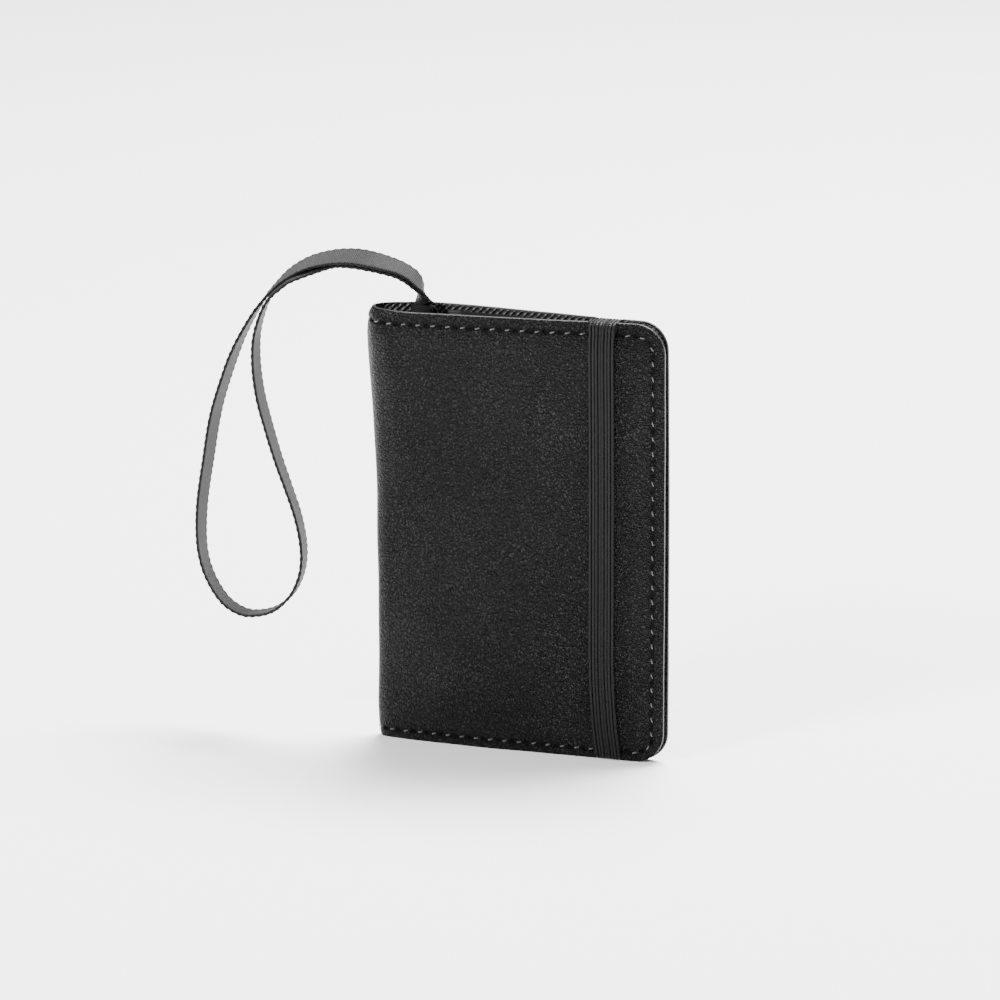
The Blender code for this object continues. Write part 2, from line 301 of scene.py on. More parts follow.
def webbing_material():
    """Dark grey satin webbing with black edges, finely ribbed across its width."""
    material, tree, shader = new_material("strap_webbing", roughness=0.55, specular=0.2, sheen=0.02)
    place = flat_place(tree)
    weft = wave(tree, place, (0.0, 0.0, 1.8))
    warp = wave(tree, place, (2.3, 0.0, 0.9))
    fuzz = noise(tree, place, Scale=3.0, Detail=4.0)
    height = maths(tree, "ADD", weft, maths(tree, "MULTIPLY", warp, 0.35))
    height = maths(tree, "MULTIPLY_ADD", fuzz, 0.9, height)
    apply_bump(tree, shader, height, 0.00010, 0.8)
    patches = noise(tree, place, Scale=0.12, Detail=3.0)
    shade = maths(tree, "MULTIPLY_ADD", height, 0.09, maths(tree, "MULTIPLY_ADD", patches, 0.3, 0.42))
    # The pressed mark darkens the edges: the webbing's own black edge colour, with painted highlights left as
    # lighter dots over the edge loops.
    shade = maths(tree, "SUBTRACT", shade, attribute(tree, "pressed", "Fac"))
    paint(tree, shader, shade, (0.0, 0.0004), (0.25, 0.0015), (0.50, 0.006), (0.9, 0.013))
    return material


def thread_material():
    """Dark grey twisted thread."""
    material, tree, shader = new_material("stitch_thread", roughness=0.42, specular=0.6, sheen=0.3)
    strands = wave(tree, flat_place(tree), (2.4, 0.0, 2.4))
    apply_bump(tree, shader, strands, 0.00008, 0.8)
    paint(tree, shader, maths(tree, "MULTIPLY_ADD", strands, 0.3, 0.5), (0.1, 0.022), (0.9, 0.075))
    return material


def plain_material(name, low, high, scale, roughness):
    """A mottled hidden layer, such as foam or board."""
    material, tree, shader = new_material(name, roughness=roughness, specular=0.3)
    grain = noise(tree, flat_place(tree), Scale=scale, Detail=5.0)
    paint(tree, shader, grain, (0.3, low), (0.7, high))
    apply_bump(tree, shader, grain, 0.0002, 0.7)
    return material


LEATHER = leather_material()
FRONT_EDGE = edge_material("leather_edge_front", 0.015, 0.045, 0.28)
# The rear cover's edge paint is the front's, made a little darker: painted shade on the rim behind the front
# cover.
SHADED_REAR_EDGE = edge_material("leather_edge_rear_shaded", 0.014, 0.040, 0.28)
TWILL = twill_material()
NYLON = pocket_material()
TAPE = tape_material()
ELASTIC = elastic_material()
WEBBING = webbing_material()
THREAD = thread_material()
FOAM = plain_material("grey_foam", (0.10, 0.10, 0.11), (0.16, 0.16, 0.17), 2.5, 0.9)
BOARD = plain_material("fibre_board", (0.16, 0.13, 0.09), (0.26, 0.21, 0.15), 1.2, 0.8)


# ------------------------ meshes


def new_piece(name, points, faces, material, flat, pressed=None, sharp_deg=50.0):
    """A mesh with two attributes for its material: its flat coordinates and how pressed each point is. The
    pressed mark darkens the colour: painted shade in the stitch dents and the elastic's grooves, and the
    webbing's black edges.
    """
    mesh = bpy.data.meshes.new(name)
    mesh.from_pydata([tuple(p) for p in points], [], [tuple(int(i) for i in f) for f in faces])
    mesh.validate()
    flat_data = mesh.attributes.new("flat", "FLOAT_VECTOR", "POINT")
    flat_data.data.foreach_set("vector", np.asarray(flat, np.float32).ravel())
    pressed_data = mesh.attributes.new("pressed", "FLOAT", "POINT")
    values = np.zeros(len(mesh.vertices)) if pressed is None else pressed
    pressed_data.data.foreach_set("value", np.asarray(values, np.float32))
    mesh.materials.append(material)
    mesh.shade_smooth()
    mesh.set_sharp_from_angle(angle=math.radians(sharp_deg))
    piece = bpy.data.objects.new(name, mesh)
    bpy.context.scene.collection.objects.link(piece)
    return piece


def grid_faces(rows, columns, first=0, flip=False, closed=False):
    """Quads of a grid whose vertices go row by row."""
    i, j = np.meshgrid(np.arange(rows - 1), np.arange(columns if closed else columns - 1), indexing="ij")
    k = (j + 1) % columns
    quads = np.stack([i * columns + j, i * columns + k, (i + 1) * columns + k, (i + 1) * columns + j], -1)
    quads = quads.reshape(-1, 4) + first
    return quads[:, ::-1] if flip else quads


def tube_faces(rows, ring, first=0, flip=False):
    """Quads of a tube whose vertices go ring by ring, and a cap at each end."""
    start = list(range(first, first + ring))
    end = list(range(first + (rows - 1) * ring, first + rows * ring))
    caps = [start, end[::-1]] if flip else [start[::-1], end]
    return grid_faces(rows, ring, first, flip, closed=True).tolist() + caps


def strip_flat(across, travelled):
    """Flat coordinates of a strip, ring by ring: x across it and z along it."""
    x, z = np.meshgrid(across, travelled)
    return np.stack([x, np.zeros(x.shape), z], -1)


def distances(points):
    """How far along a line each of its points is."""
    return np.concatenate([[0], np.cumsum(np.linalg.norm(np.diff(points, axis=0), axis=1))])


def ease(x):
    x = np.clip(x, 0.0, 1.0)
    return x * x * (3 - 2 * x)


# ------------------------ the reference surface

# Plan outlines of the outside of the wallet, from the rear fore edge round the spine to the front fore edge:
# near the top, where the spine flares, and in the lower half, where it is slim
UPPER_OUTLINE = np.array([
    (48.2, 3.2), (35.0, 3.9), (20.0, 4.6), (5.0, 6.0), (-10.0, 7.4), (-23.0, 8.2), (-33.0, 7.8),
    (-40.5, 6.3), (-45.6, 4.4), (-48.8, 1.9), (-50.25, -1.2), (-49.8, -4.8), (-47.4, -8.3), (-43.0, -10.5),
    (-36.0, -11.2), (-23.0, -10.2), (-10.0, -9.1), (5.0, -7.6), (20.0, -5.8), (35.0, -4.2), (48.5, -3.6),
]) * MM
LOWER_OUTLINE = np.array([
    (49.1, 2.4), (35.0, 2.8), (20.0, 3.3), (5.0, 3.9), (-10.0, 4.5), (-23.0, 5.0), (-33.0, 5.0),
    (-40.4, 4.6), (-45.1, 3.6), (-47.5, 2.0), (-48.1, 0.2), (-47.3, -1.4), (-45.1, -2.6), (-40.6, -3.2),
    (-34.5, -3.6), (-23.0, -4.1), (-10.0, -4.2), (5.0, -3.9), (20.0, -3.5), (35.0, -3.2), (48.5, -2.8),
]) * MM
FLARE_START = 0.050
FLARE_END = 0.134
# Where the leather and the lining are split, counted in points of the outlines
SEAM_REAR_KEY = 8.3
SEAM_FRONT_KEY = 12.0

chords = (np.linalg.norm(np.diff(UPPER_OUTLINE, axis=0), axis=1)
          + np.linalg.norm(np.diff(LOWER_OUTLINE, axis=0), axis=1)) / 2
KNOTS = np.concatenate([[0.0], np.cumsum(chords)])
GIRTH = KNOTS[-1]
SEAM_REAR = float(np.interp(SEAM_REAR_KEY, np.arange(len(KNOTS)), KNOTS))
SEAM_FRONT = float(np.interp(SEAM_FRONT_KEY, np.arange(len(KNOTS)), KNOTS))
SPINE_MIDDLE = (SEAM_REAR + SEAM_FRONT) / 2
SPINE_HALF = 0.011
SPINE_FADE = 0.007

CORNER = {"rear": 0.0092, "spine": 0.0096, "front": 0.0096}
CORNER_FADE = 0.030
STITCH_INSET = 0.0039
STITCH_INSET_LOW = 0.0030
EDGE_RADIUS = 0.00034
INNER_RADIUS = 0.0002
RIM_DROP = {"rear": 0.00045, "front": 0.0008}
PAD_RISE = 0.0085
SPINE_TUCK = 0.0014
TUCK_HEIGHT = 0.0034
LEATHER_THICK = 0.0008
TURNED_DEPTH = 0.00165
TURNED_WIDTH = 0.0052
TURNED_FADE = 0.0012
LINING_DEPTH = 0.0017
LINING_THICK = 0.00025
SPINE_LINING_DEPTH = 0.00085


def outline(points, s):
    """A smooth curve through the points, at the distances s along it."""
    slopes = np.gradient(points, KNOTS, axis=0)
    i = np.clip(np.searchsorted(KNOTS, s, side="right") - 1, 0, len(KNOTS) - 2)
    span = (KNOTS[i + 1] - KNOTS[i])[..., None]
    t = (s - KNOTS[i])[..., None] / span
    return ((2 * t**3 - 3 * t**2 + 1) * points[i] + (t**3 - 2 * t**2 + t) * span * slopes[i]
            + (3 * t**2 - 2 * t**3) * points[i + 1] + (t**3 - t**2) * span * slopes[i + 1])


def on_surface(s, z):
    """Points of the reference surface. The plan goes over from the lower outline to the upper one."""
    share = np.clip((z - FLARE_START) / (FLARE_END - FLARE_START), 0.0, 1.0) ** 2
    plan = outline(LOWER_OUTLINE, s) * (1 - share[..., None]) + outline(UPPER_OUTLINE, s) * share[..., None]
    return np.concatenate([plan, z[..., None]], -1)


def surface(s, z, depth=0.0):
    """Points at a depth below the reference surface, and the outward normals there."""
    step = 0.0002
    s, z = np.broadcast_arrays(np.asarray(s, float), np.asarray(z, float))
    along = on_surface(s + step, z) - on_surface(s - step, z)
    up = on_surface(s, z + step) - on_surface(s, z - step)
    normal = np.cross(along, up)
    normal[..., 2] = 0.0
    normal /= np.linalg.norm(normal, axis=-1, keepdims=True)
    return on_surface(s, z) - normal * np.asarray(depth)[..., None], normal


def s_at_x(x, front):
    """The place round the wallet where the upper outline passes x, on the front or the rear cover."""
    s = np.linspace(SPINE_MIDDLE, GIRTH, 800) if front else np.linspace(0.0, SPINE_MIDDLE, 800)
    return float(s[np.argmin(np.abs(outline(UPPER_OUTLINE, s)[:, 0] - x))])


def spine_share(s):
    """1 round the spine, falling to 0 on the covers."""
    return 1 - ease((np.abs(s - SPINE_MIDDLE) - SPINE_HALF) / SPINE_FADE)


def edge_distance(s, z, low=0.0, high=HEIGHT):
    """Distance to the free edge of the wallet's sheet, with its rounded corners at the fore edges."""
    corner = np.where(s < SPINE_MIDDLE, CORNER["rear"], CORNER["front"])
    side = np.minimum(s, GIRTH - s)
    end = np.minimum(z - low, high - z)
    inside = corner - np.hypot(np.maximum(corner - side, 0), np.maximum(corner - end, 0))
    return np.where((side < corner) & (end < corner), inside, np.minimum(side, end))


def corner_inset(z, low, high, radius):
    """How far the rounded corner pulls the fore edge in at height z."""
    end = np.clip(np.minimum(z - low, high - z), 0, radius)
    return radius - np.sqrt(np.maximum(radius**2 - (radius - end) ** 2, 0))


def stitch_inset(z):
    """How far the row of stitches lies from the edge: closer along the bottom."""
    return STITCH_INSET_LOW + (STITCH_INSET - STITCH_INSET_LOW) * ease((z - 0.004) / 0.006)


# ------------------------ elastic band, where it runs

BAND_LOW, BAND_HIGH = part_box("elastic_band")
BAND_X = (BAND_LOW.x + BAND_HIGH.x) / 2
BAND_HALF = (BAND_HIGH.x - BAND_LOW.x) / 2 - 0.0001
BAND_DRIFT = 0.0026
BAND_DRIFT_HEIGHT = 0.036
BAND_SPREAD = 0.0003
BAND_SPREAD_HEIGHT = 0.006
BAND_NOTCH = 0.0011
NOTCH_FADE = 0.0008
NOTCH_REACH = 0.006


def band_middle(z):
    """The middle of the band in x. It drifts towards the fore edge near the bottom."""
    return BAND_X + BAND_DRIFT * np.clip(1 - z / BAND_DRIFT_HEIGHT, 0, 1) ** 2


def band_notch(x, z):
    """How far the band pulls the leather's edge in below it, at the top or the bottom."""
    away = np.abs(x - band_middle(z)) - (BAND_HALF + BAND_SPREAD)
    return BAND_NOTCH * (1 - ease((away + 0.0007) / NOTCH_FADE))


# ------------------------ shells


def edge_steps(width, start, step):
    """Distances from an edge: close together on its rounding, then evenly spaced to the width."""
    rounding = [0.0, 0.00004, 0.00010, 0.00019, 0.00032]
    return rounding + list(np.arange(start, width, step))


def cover_columns(first, last, middle_step, edge_step):
    """s values from first to last, fine near a fore edge."""
    edge = np.array(edge_steps(0.009, 0.0005, edge_step))
    if first <= 0.0:
        middle = np.arange(edge[-1] + middle_step, last, middle_step)
        return np.concatenate([first + edge, middle, [last]])
    if last >= GIRTH:
        middle = np.arange(first, GIRTH - edge[-1] - middle_step * 0.5, middle_step)
        return np.concatenate([middle, GIRTH - edge[::-1]])
    return np.linspace(first, last, max(2, round((last - first) / middle_step)))


def height_rows(low, high, middle_step, edge_step):
    edge = np.array(edge_steps(0.008, 0.0005, edge_step))
    middle = np.linspace(low + edge[-1], high - edge[-1], round((high - low - 2 * edge[-1]) / middle_step))
    return np.concatenate([low + edge, middle[1:-1], high - edge[::-1]])


def sheet_points(columns, rows, low, high, corner, fore_inset=0.0, notched=True):
    """s and z of a sheet's grid. Rows shorten at the rounded corners, and the band notches the edges."""
    s, z = np.meshgrid(columns, rows)
    pull = corner_inset(z, low, high, corner)
    rear = columns[0] < fore_inset + 1e-9
    front = columns[-1] > GIRTH - fore_inset - 1e-9
    if front:
        share = np.clip((s - (GIRTH - CORNER_FADE)) / (CORNER_FADE - fore_inset), 0, 1)
        s = s - pull * share
    if rear:
        share = np.clip((CORNER_FADE - s) / (CORNER_FADE - fore_inset), 0, 1)
        s = s + pull * share
    if notched:
        x = on_surface(s, z)[..., 0]
        z = z - band_notch(x, z) * np.clip(1 - (high - z) / NOTCH_REACH, 0, 1)
        z = z + band_notch(x, z) * np.clip(1 - (z - low) / NOTCH_REACH, 0, 1)
    return s, z


def shell(name, s, z, outer, inner, material, pressed=None, flip=False):
    """A closed sheet between two depths. Its rims join the two faces."""
    rows, columns = s.shape
    out_points, _ = surface(s, z, outer)
    in_points, _ = surface(s, z, inner)
    count = rows * columns
    points = np.concatenate([out_points.reshape(-1, 3), in_points.reshape(-1, 3)])
    faces = [grid_faces(rows, columns), grid_faces(rows, columns, count, flip=True)]
    index = np.arange(count).reshape(rows, columns)
    rim = np.concatenate([index[0, :-1], index[:-1, -1], index[-1, :0:-1], index[:0:-1, 0]])
    after = np.roll(rim, -1)
    faces.append(np.stack([after, rim, rim + count, after + count], -1))
    faces = np.concatenate(faces)
    flat = np.stack([s.ravel(), np.zeros(count), z.ravel()], -1)
    under = flat + (0.0, 0.001, 0.0)
    marks = None if pressed is None else np.concatenate([pressed.ravel(), np.zeros(count)])
    return new_piece(name, points, faces, material, np.concatenate([flat, under]), marks)


# ------------------------ stitches

STITCH_PITCH = 0.0048
STITCH_HALF = 0.00078
THREAD_RADIUS = 0.00024
STITCH_SLANT = math.radians(13)
DENT_DEPTH = 0.00065
DENT_LENGTH = 0.00085
DENT_WIDTH = 0.00048
GROOVE_DEPTH = 0.00022
GROOVE_WIDTH = 0.0005
RIPPLE = 0.00007


def stitch_line(first, last):
    """(s, z) along the stitches between two places round the wallet. A cover has one row: along its top, down
    its fore edge and along its bottom. The spine has one at the top and one at the bottom."""
    top, low = HEIGHT - STITCH_INSET, STITCH_INSET_LOW
    if first > 0.0 and last < GIRTH:
        run = np.linspace(first, last, 60)
        return [np.stack([run, np.full(60, height)], -1) for height in (top, low)]
    rear = first <= 0.0
    edge, sign, start = (0.0, 1, last) if rear else (GIRTH, -1, first)
    corner = CORNER["rear" if rear else "front"]
    run = np.linspace(start, edge + sign * corner, 200)
    lines = [np.stack([run, np.full(200, top)], -1)]
    for centre_z, begin, finish in ((HEIGHT - corner, 90, 0), (corner, 0, -90)):
        angles = np.radians(np.linspace(begin, finish, 40))
        inset = np.full(40, STITCH_INSET)
        for _ in range(3):
            inset = stitch_inset(centre_z + (corner - inset) * np.sin(angles))
        lines.append(np.stack([edge + sign * (corner - (corner - inset) * np.cos(angles)),
                               centre_z + (corner - inset) * np.sin(angles)], -1))
    lines.append(np.stack([run[::-1], np.full(200, low)], -1))
    return [np.concatenate(lines)]


def skin_depth(s, z):
    """Depth of the leather's outer face: flat rim, groove of the stitches, padded field and rounded edge."""
    distance = edge_distance(s, z)
    inset = stitch_inset(z)
    padded = 1 - np.clip((distance - inset) / PAD_RISE, 0, 1)
    drop = np.interp(s, (SEAM_REAR, SEAM_FRONT), (RIM_DROP["rear"], RIM_DROP["front"]))
    depth = drop * padded**2 * (1 - 0.5 * spine_share(s))
    depth += GROOVE_DEPTH * np.exp(-(((distance - inset) / GROOVE_WIDTH) ** 2))
    tuck = np.clip(1 - (HEIGHT - z) / TUCK_HEIGHT, 0, 1) ** 2 + 0.35 * np.clip(1 - z / TUCK_HEIGHT, 0, 1) ** 2
    depth += SPINE_TUCK * spine_share(s) * tuck
    x, y = on_surface(s, z)[..., 0] / MM, z / MM
    ripples = np.sin(x / 6.1 + y / 9.3) + np.sin(x / 3.7 - y / 7.9 + 1.0) + np.sin(y / 4.6 + x / 13)
    return depth + RIPPLE * ripples + rounding(distance, EDGE_RADIUS)


def skin_inner(s, z, outer):
    """Depth of the leather's inner face. The leather is turned in along the edges of the covers."""
    distance = edge_distance(s, z)
    turned = (1 - ease((distance - TURNED_WIDTH) / TURNED_FADE)) * (1 - spine_share(s))
    plain = outer + LEATHER_THICK
    depth = plain * (1 - turned) + np.maximum(TURNED_DEPTH, plain) * turned
    return depth - rounding(distance, INNER_RADIUS)


def rounding(distance, radius):
    """How far a rounded edge of that radius falls away at a distance from the edge."""
    curl = np.clip(radius - distance, 0, radius)
    return radius - np.sqrt(np.maximum(radius**2 - curl**2, 0))


def row_frames(line):
    """Places a pitch apart along a row, as (s, z) and as points with tangent, normal and across."""
    points, _ = surface(line[:, 0], line[:, 1], skin_depth(line[:, 0], line[:, 1]))
    travelled = distances(points)
    count = max(1, round(travelled[-1] / STITCH_PITCH))
    spacing = travelled[-1] / count

    def along(places, values):
        return np.stack([np.interp(places, travelled, column) for column in values.T], -1)

    def at(places):
        s, z = along(places, line).T
        here, normal = surface(s, z, skin_depth(s, z))
        tangent = along(places + 0.0004, points) - along(places - 0.0004, points)
        tangent /= np.linalg.norm(tangent, axis=1, keepdims=True)
        return s, z, here, tangent, normal, np.cross(normal, tangent)

    middles = (np.arange(count) + 0.5) * spacing
    return at(middles), at(np.arange(count + 1) * spacing)


def add_threads(name, places):
    """One short thread for each stitch, with both ends going down into the leather."""
    s, z, here, tangent, normal, across = places
    along = np.array([-1.15, -1.0, -0.7, -0.25, 0.25, 0.7, 1.0, 1.15]) * STITCH_HALF
    lift = np.array([-0.45, -0.12, 0.14, 0.26, 0.26, 0.14, -0.12, -0.45]) * MM
    width = np.array([0.7, 0.9, 1.0, 1.05, 1.05, 1.0, 0.9, 0.7]) * THREAD_RADIUS
    sides = 8
    angles = np.arange(sides) / sides * 2 * math.pi
    lean = math.tan(STITCH_SLANT)
    points, faces, flat = [], [], []
    for k in range(len(s)):
        centre = (here[k] + along[:, None] * tangent[k] + (along * lean)[:, None] * across[k]
                  + lift[:, None] * normal[k])
        ring = (width[:, None, None] * (np.cos(angles)[None, :, None] * across[k]
                                        + 0.8 * np.sin(angles)[None, :, None] * normal[k]))
        first = len(points)
        points.extend((centre[:, None, :] + ring).reshape(-1, 3))
        faces.extend(tube_faces(len(along), sides, first))
        rise = width[0] * np.array([math.sin(a) for a in angles])
        reach = width[0] * np.array([math.cos(a) for a in angles])
        for step in along:
            flat.extend([(s[k] + step, up, z[k] + side) for up, side in zip(rise, reach)])
    return new_piece(name, points, faces, THREAD, flat, sharp_deg=80.0)


def press_stitches(s, z, depth, dents):
    """Adds a dent at each hole between two stitches; returns the depths and how pressed each point is. The
    leather's colour darkens with the pressed mark: painted shade in the dents.
    """
    _, _, places, tangents, _, acrosses = dents
    tree = KDTree(len(places))
    for k, place in enumerate(places):
        tree.insert(place, k)
    tree.balance()
    points, _ = surface(s, z, depth)
    near = np.argwhere(np.abs(edge_distance(s, z) - stitch_inset(z)) < 0.0022)
    pressed = np.zeros(s.shape)
    lean = math.tan(STITCH_SLANT)
    for i, j in near:
        _, k, reach = tree.find(points[i, j])
        if reach > 0.003:
            continue
        offset = points[i, j] - places[k]
        along = float(offset @ tangents[k])
        across = float(offset @ acrosses[k]) + along * lean
        pressed[i, j] = math.exp(-abs(along / DENT_LENGTH) ** 3 - (across / DENT_WIDTH) ** 2)
    return depth + DENT_DEPTH * pressed, pressed


# ------------------------ seams of the sheet, and baking pieces in place

SEAMS = {"rear": (0.0, SEAM_REAR), "spine": (SEAM_REAR, SEAM_FRONT), "front": (SEAM_FRONT, GIRTH)}


def bend(piece):
    """Bakes a piece's place into its mesh."""
    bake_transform(piece)


# ------------------------ leather and its stitches


def add_skin(part, replaced):
    """The leather of a cover or of the spine, with its stitches."""
    first, last = SEAMS[part]
    columns = cover_columns(first, last, 0.0005, 0.00045)
    rows = height_rows(0.0, HEIGHT, 0.0012, 0.0004)
    s, z = sheet_points(columns, rows, 0.0, HEIGHT, CORNER[part])
    lines = [row_frames(line) for line in stitch_line(first, last)]
    stitches = [np.concatenate(parts) for parts in zip(*[line[0] for line in lines])]
    dents = [np.concatenate(parts) for parts in zip(*[line[1] for line in lines])]
    outer, pressed = press_stitches(s, z, skin_depth(s, z), dents)
    inner = skin_inner(s, z, skin_depth(s, z))
    skin = shell(f"{part}_leather_skin", s, z, outer, inner, LEATHER, pressed)
    # The rear cover's edge gets the darker copy of the edge paint: painted shade.
    skin.data.materials.append(SHADED_REAR_EDGE if part == "rear" else FRONT_EDGE)
    paint_edge(skin, s, z)
    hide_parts(*replaced)
    bend(skin)
    x = on_surface(stitches[0], stitches[1])[:, 0]
    shown = (np.abs(x - band_middle(stitches[1])) > BAND_HALF + 0.0004) | (stitches[0] < SPINE_MIDDLE)
    threads = add_threads(f"{part}_stitches", [values[shown] for values in stitches])
    bend(threads)


def paint_edge(skin, s, z):
    """The turned edge has its own finish: faces on the rounding and on the rim."""
    distance = edge_distance(s, z).ravel()
    near = np.concatenate([distance < 0.00012, distance < 0.0003])
    polygons = skin.data.polygons
    corners = read_numbers(skin.data.loops, "vertex_index")
    near_corners = np.add.reduceat(near[corners].astype(int), read_numbers(polygons, "loop_start"))
    painted = near_corners >= read_numbers(polygons, "loop_total")
    polygons.foreach_set("material_index", painted.astype(np.int32))


def read_numbers(items, field):
    values = np.zeros(len(items), np.int32)
    items.foreach_get(field, values)
    return values


# ------------------------ wrist strap

# Route of the webbing in millimetres: over the top to the bottom of the loop, then back up the inner side
STRAP_OUTER = [
    (-32.4, 2.1, 142.2), (-32.8, 2.1, 144.3), (-33.3, 2.0, 146.5), (-34.5, 1.7, 148.9),
    (-36.7, 1.2, 151.4), (-40.6, 0.4, 153.6), (-44.9, -0.4, 154.9), (-49.2, -1.1, 155.9),
    (-55.0, -2.0, 156.7), (-62.0, -2.8, 156.2), (-69.5, -3.9, 154.1), (-75.6, -4.7, 150.6),
    (-80.2, -5.2, 146.4), (-86.2, -5.8, 138.9), (-92.8, -6.0, 127.0), (-97.6, -6.0, 114.6),
    (-101.2, -6.0, 102.6), (-103.8, -6.0, 88.0), (-106.0, -6.0, 74.0), (-106.4, -6.2, 62.0),
    (-105.0, -6.5, 53.6), (-101.6, -6.8, 46.4), (-97.0, -7.1, 41.2), (-91.0, -7.5, 38.7),
    (-85.0, -7.8, 39.2),
]
STRAP_INNER = [
    (-80.0, -8.1, 41.2), (-76.0, -8.4, 44.6), (-72.6, -8.7, 49.4), (-70.4, -8.9, 56.0),
    (-70.2, -9.0, 63.6), (-72.0, -9.0, 72.6), (-75.2, -9.0, 81.8), (-78.8, -9.0, 91.6),
    (-82.0, -9.0, 102.0), (-84.4, -9.0, 111.0), (-85.7, -9.0, 120.4), (-85.6, -9.0, 129.6),
    (-83.8, -9.0, 137.0), (-81.0, -8.6, 143.2), (-77.0, -7.8, 147.6), (-72.2, -6.2, 151.0),
]
DOUBLED_POINTS = 10
ROUTE_STEPS = 2300
EXIT_TURN = math.radians(30)
TWIST_LENGTH = 0.011
DROOP_LENGTH = 0.028
# How the webbing twists, in degrees, at shares of its length
LOOP_SHARES = (0.14, 0.24, 0.37, 0.43, 0.51, 0.56, 0.65, 0.785, 0.88)
LOOP_YAWS = (0.0, 6.0, 1.0, -4.0, -7.0, -9.5, -10.0, -6.0, 0.0)
LOOP_DROPS = (20.5, 14.0, 0.0, -6.0, -3.0, -1.5, 0.0, 12.0, 20.5)
STRAP_WIDTH = 0.0090
STRAP_THICK = 0.0009
STRAP_PLY = 0.0013
STRAP_RIB = 0.00056
SELVEDGE_PITCH = 0.0024
TAIL_X = -0.0323
TAIL_ROWS = 130


def smooth_route(points):
    """A Catmull-Rom curve through the points."""
    knots = [2 * points[0] - points[1], *points, 2 * points[-1] - points[-2]]
    found = []
    for step in range(ROUTE_STEPS + 1):
        place = step / ROUTE_STEPS * (len(points) - 1)
        index = min(int(place), len(points) - 2)
        t = place - index
        a, b, c, d = knots[index : index + 4]
        curve = 2 * a - 5 * b + 4 * c - d
        found.append(0.5 * (2 * b + (c - a) * t + curve * t**2 + (3 * b - a - 3 * c + d) * t**3))
    return found


def width_direction(tangent, travelled, drop=LOOP_DROPS[0]):
    """The way across the webbing: it turns from X to -Y, and is part of the way there at the exit."""
    share = min(travelled / TWIST_LENGTH, 1.0)
    turn = EXIT_TURN + share * (2 - share) * (math.pi / 2 - EXIT_TURN)
    drop = math.radians(drop) * ease(travelled / DROOP_LENGTH)
    wanted = Vector((math.cos(turn), -math.sin(turn) * math.cos(drop), -math.sin(turn) * math.sin(drop)))
    return (wanted - tangent * wanted.dot(tangent)).normalized()


def strap_route():
    """The points of the route. Where the webbing is doubled, its other ply lies under the first one."""
    outer = [Vector(p) * MM for p in STRAP_OUTER]
    inner = [Vector(p) * MM for p in STRAP_INNER]
    travelled, under = 0.0, []
    for i in range(DOUBLED_POINTS):
        tangent = (outer[i + 1] - outer[max(i - 1, 0)]).normalized()
        gap = STRAP_PLY + 0.00007 * max(0, 4 - i)
        under.append(outer[i] + width_direction(tangent, travelled).cross(tangent) * gap)
        travelled += (outer[i + 1] - outer[i]).length
    return outer + inner + under[::-1]


def ribbon(name, route, across, rib):
    """Webbing along a route: ribs across both faces and a looped edge on each side."""
    centres = np.array(route)
    across = np.array(across)
    tangents = np.gradient(centres, axis=0)
    tangents /= np.linalg.norm(tangents, axis=1, keepdims=True)
    normals = np.cross(across, tangents)
    travelled = distances(centres)
    spots = np.array([0.25, 0.5, 0.75, 0.87, 0.94, 0.985, 1.0])
    spots = np.concatenate([-spots[::-1], [0.0], spots])
    swell = np.interp(np.abs(spots), (0.5, 0.75, 0.87, 0.94, 0.985, 1.0), (1.0, 0.98, 1.08, 1.05, 0.85, 0.45))
    ribbing = 1 + rib * np.cos(2 * math.pi * travelled / STRAP_RIB)[:, None]
    edge_share = ease((np.abs(spots) - 0.80) / 0.12)
    lobes = np.sin(2 * math.pi * travelled / SELVEDGE_PITCH)[:, None]
    reach = STRAP_WIDTH / 2 * spots * (1 + 0.011 * lobes * edge_share)
    rise = STRAP_THICK / 2 * swell * (ribbing * (1 - edge_share) + (1 + 0.18 * lobes) * edge_share)
    upper = centres[:, None, :] + reach[..., None] * across[:, None, :]
    lower = upper - rise[..., None] * normals[:, None, :]
    upper = upper + rise[..., None] * normals[:, None, :]
    points = np.concatenate([upper, lower[:, ::-1]], axis=1).reshape(-1, 3)
    faces = tube_faces(len(centres), 2 * len(spots), flip=True)
    flat = strip_flat(np.concatenate([spots, spots[::-1] + 4.0]) * STRAP_WIDTH / 2, travelled).reshape(-1, 3)
    # The black edges are the webbing's own colour; the lighter dots along them, over the edge loops, are
    # painted highlights.
    dots = 0.5 + 0.5 * np.sin(2 * math.pi * travelled / SELVEDGE_PITCH + 1.0)
    pressed = np.concatenate([edge_share, edge_share[::-1]]) * (0.62 - 0.22 * dots[:, None] ** 4)
    return new_piece(name, points, faces, WEBBING, flat, pressed.ravel(), sharp_deg=70.0)


def add_strap():
    route = smooth_route(strap_route())
    lengths = [0.0]
    for before, after in zip(route, route[1:]):
        lengths.append(lengths[-1] + (after - before).length)
    across = []
    for i, length in enumerate(lengths):
        tangent = (route[min(i + 1, ROUTE_STEPS)] - route[max(i - 1, 0)]).normalized()
        share = length / lengths[-1]
        drop = np.interp(share, LOOP_SHARES, LOOP_DROPS)
        yaw = np.interp(share, LOOP_SHARES, LOOP_YAWS)
        wanted = width_direction(tangent, min(length, lengths[-1] - length), drop)
        wanted.rotate(Matrix.Rotation(math.radians(-yaw), 3, "Z"))
        across.append((wanted - tangent * wanted.dot(tangent)).normalized())
    for i in range(1, len(across)):
        if across[i].dot(across[i - 1]) < 0:
            across[i] = -across[i]
    strap = ribbon("strap_loop", route, across, 0.07)
    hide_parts("wrist_strap")
    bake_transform(strap)


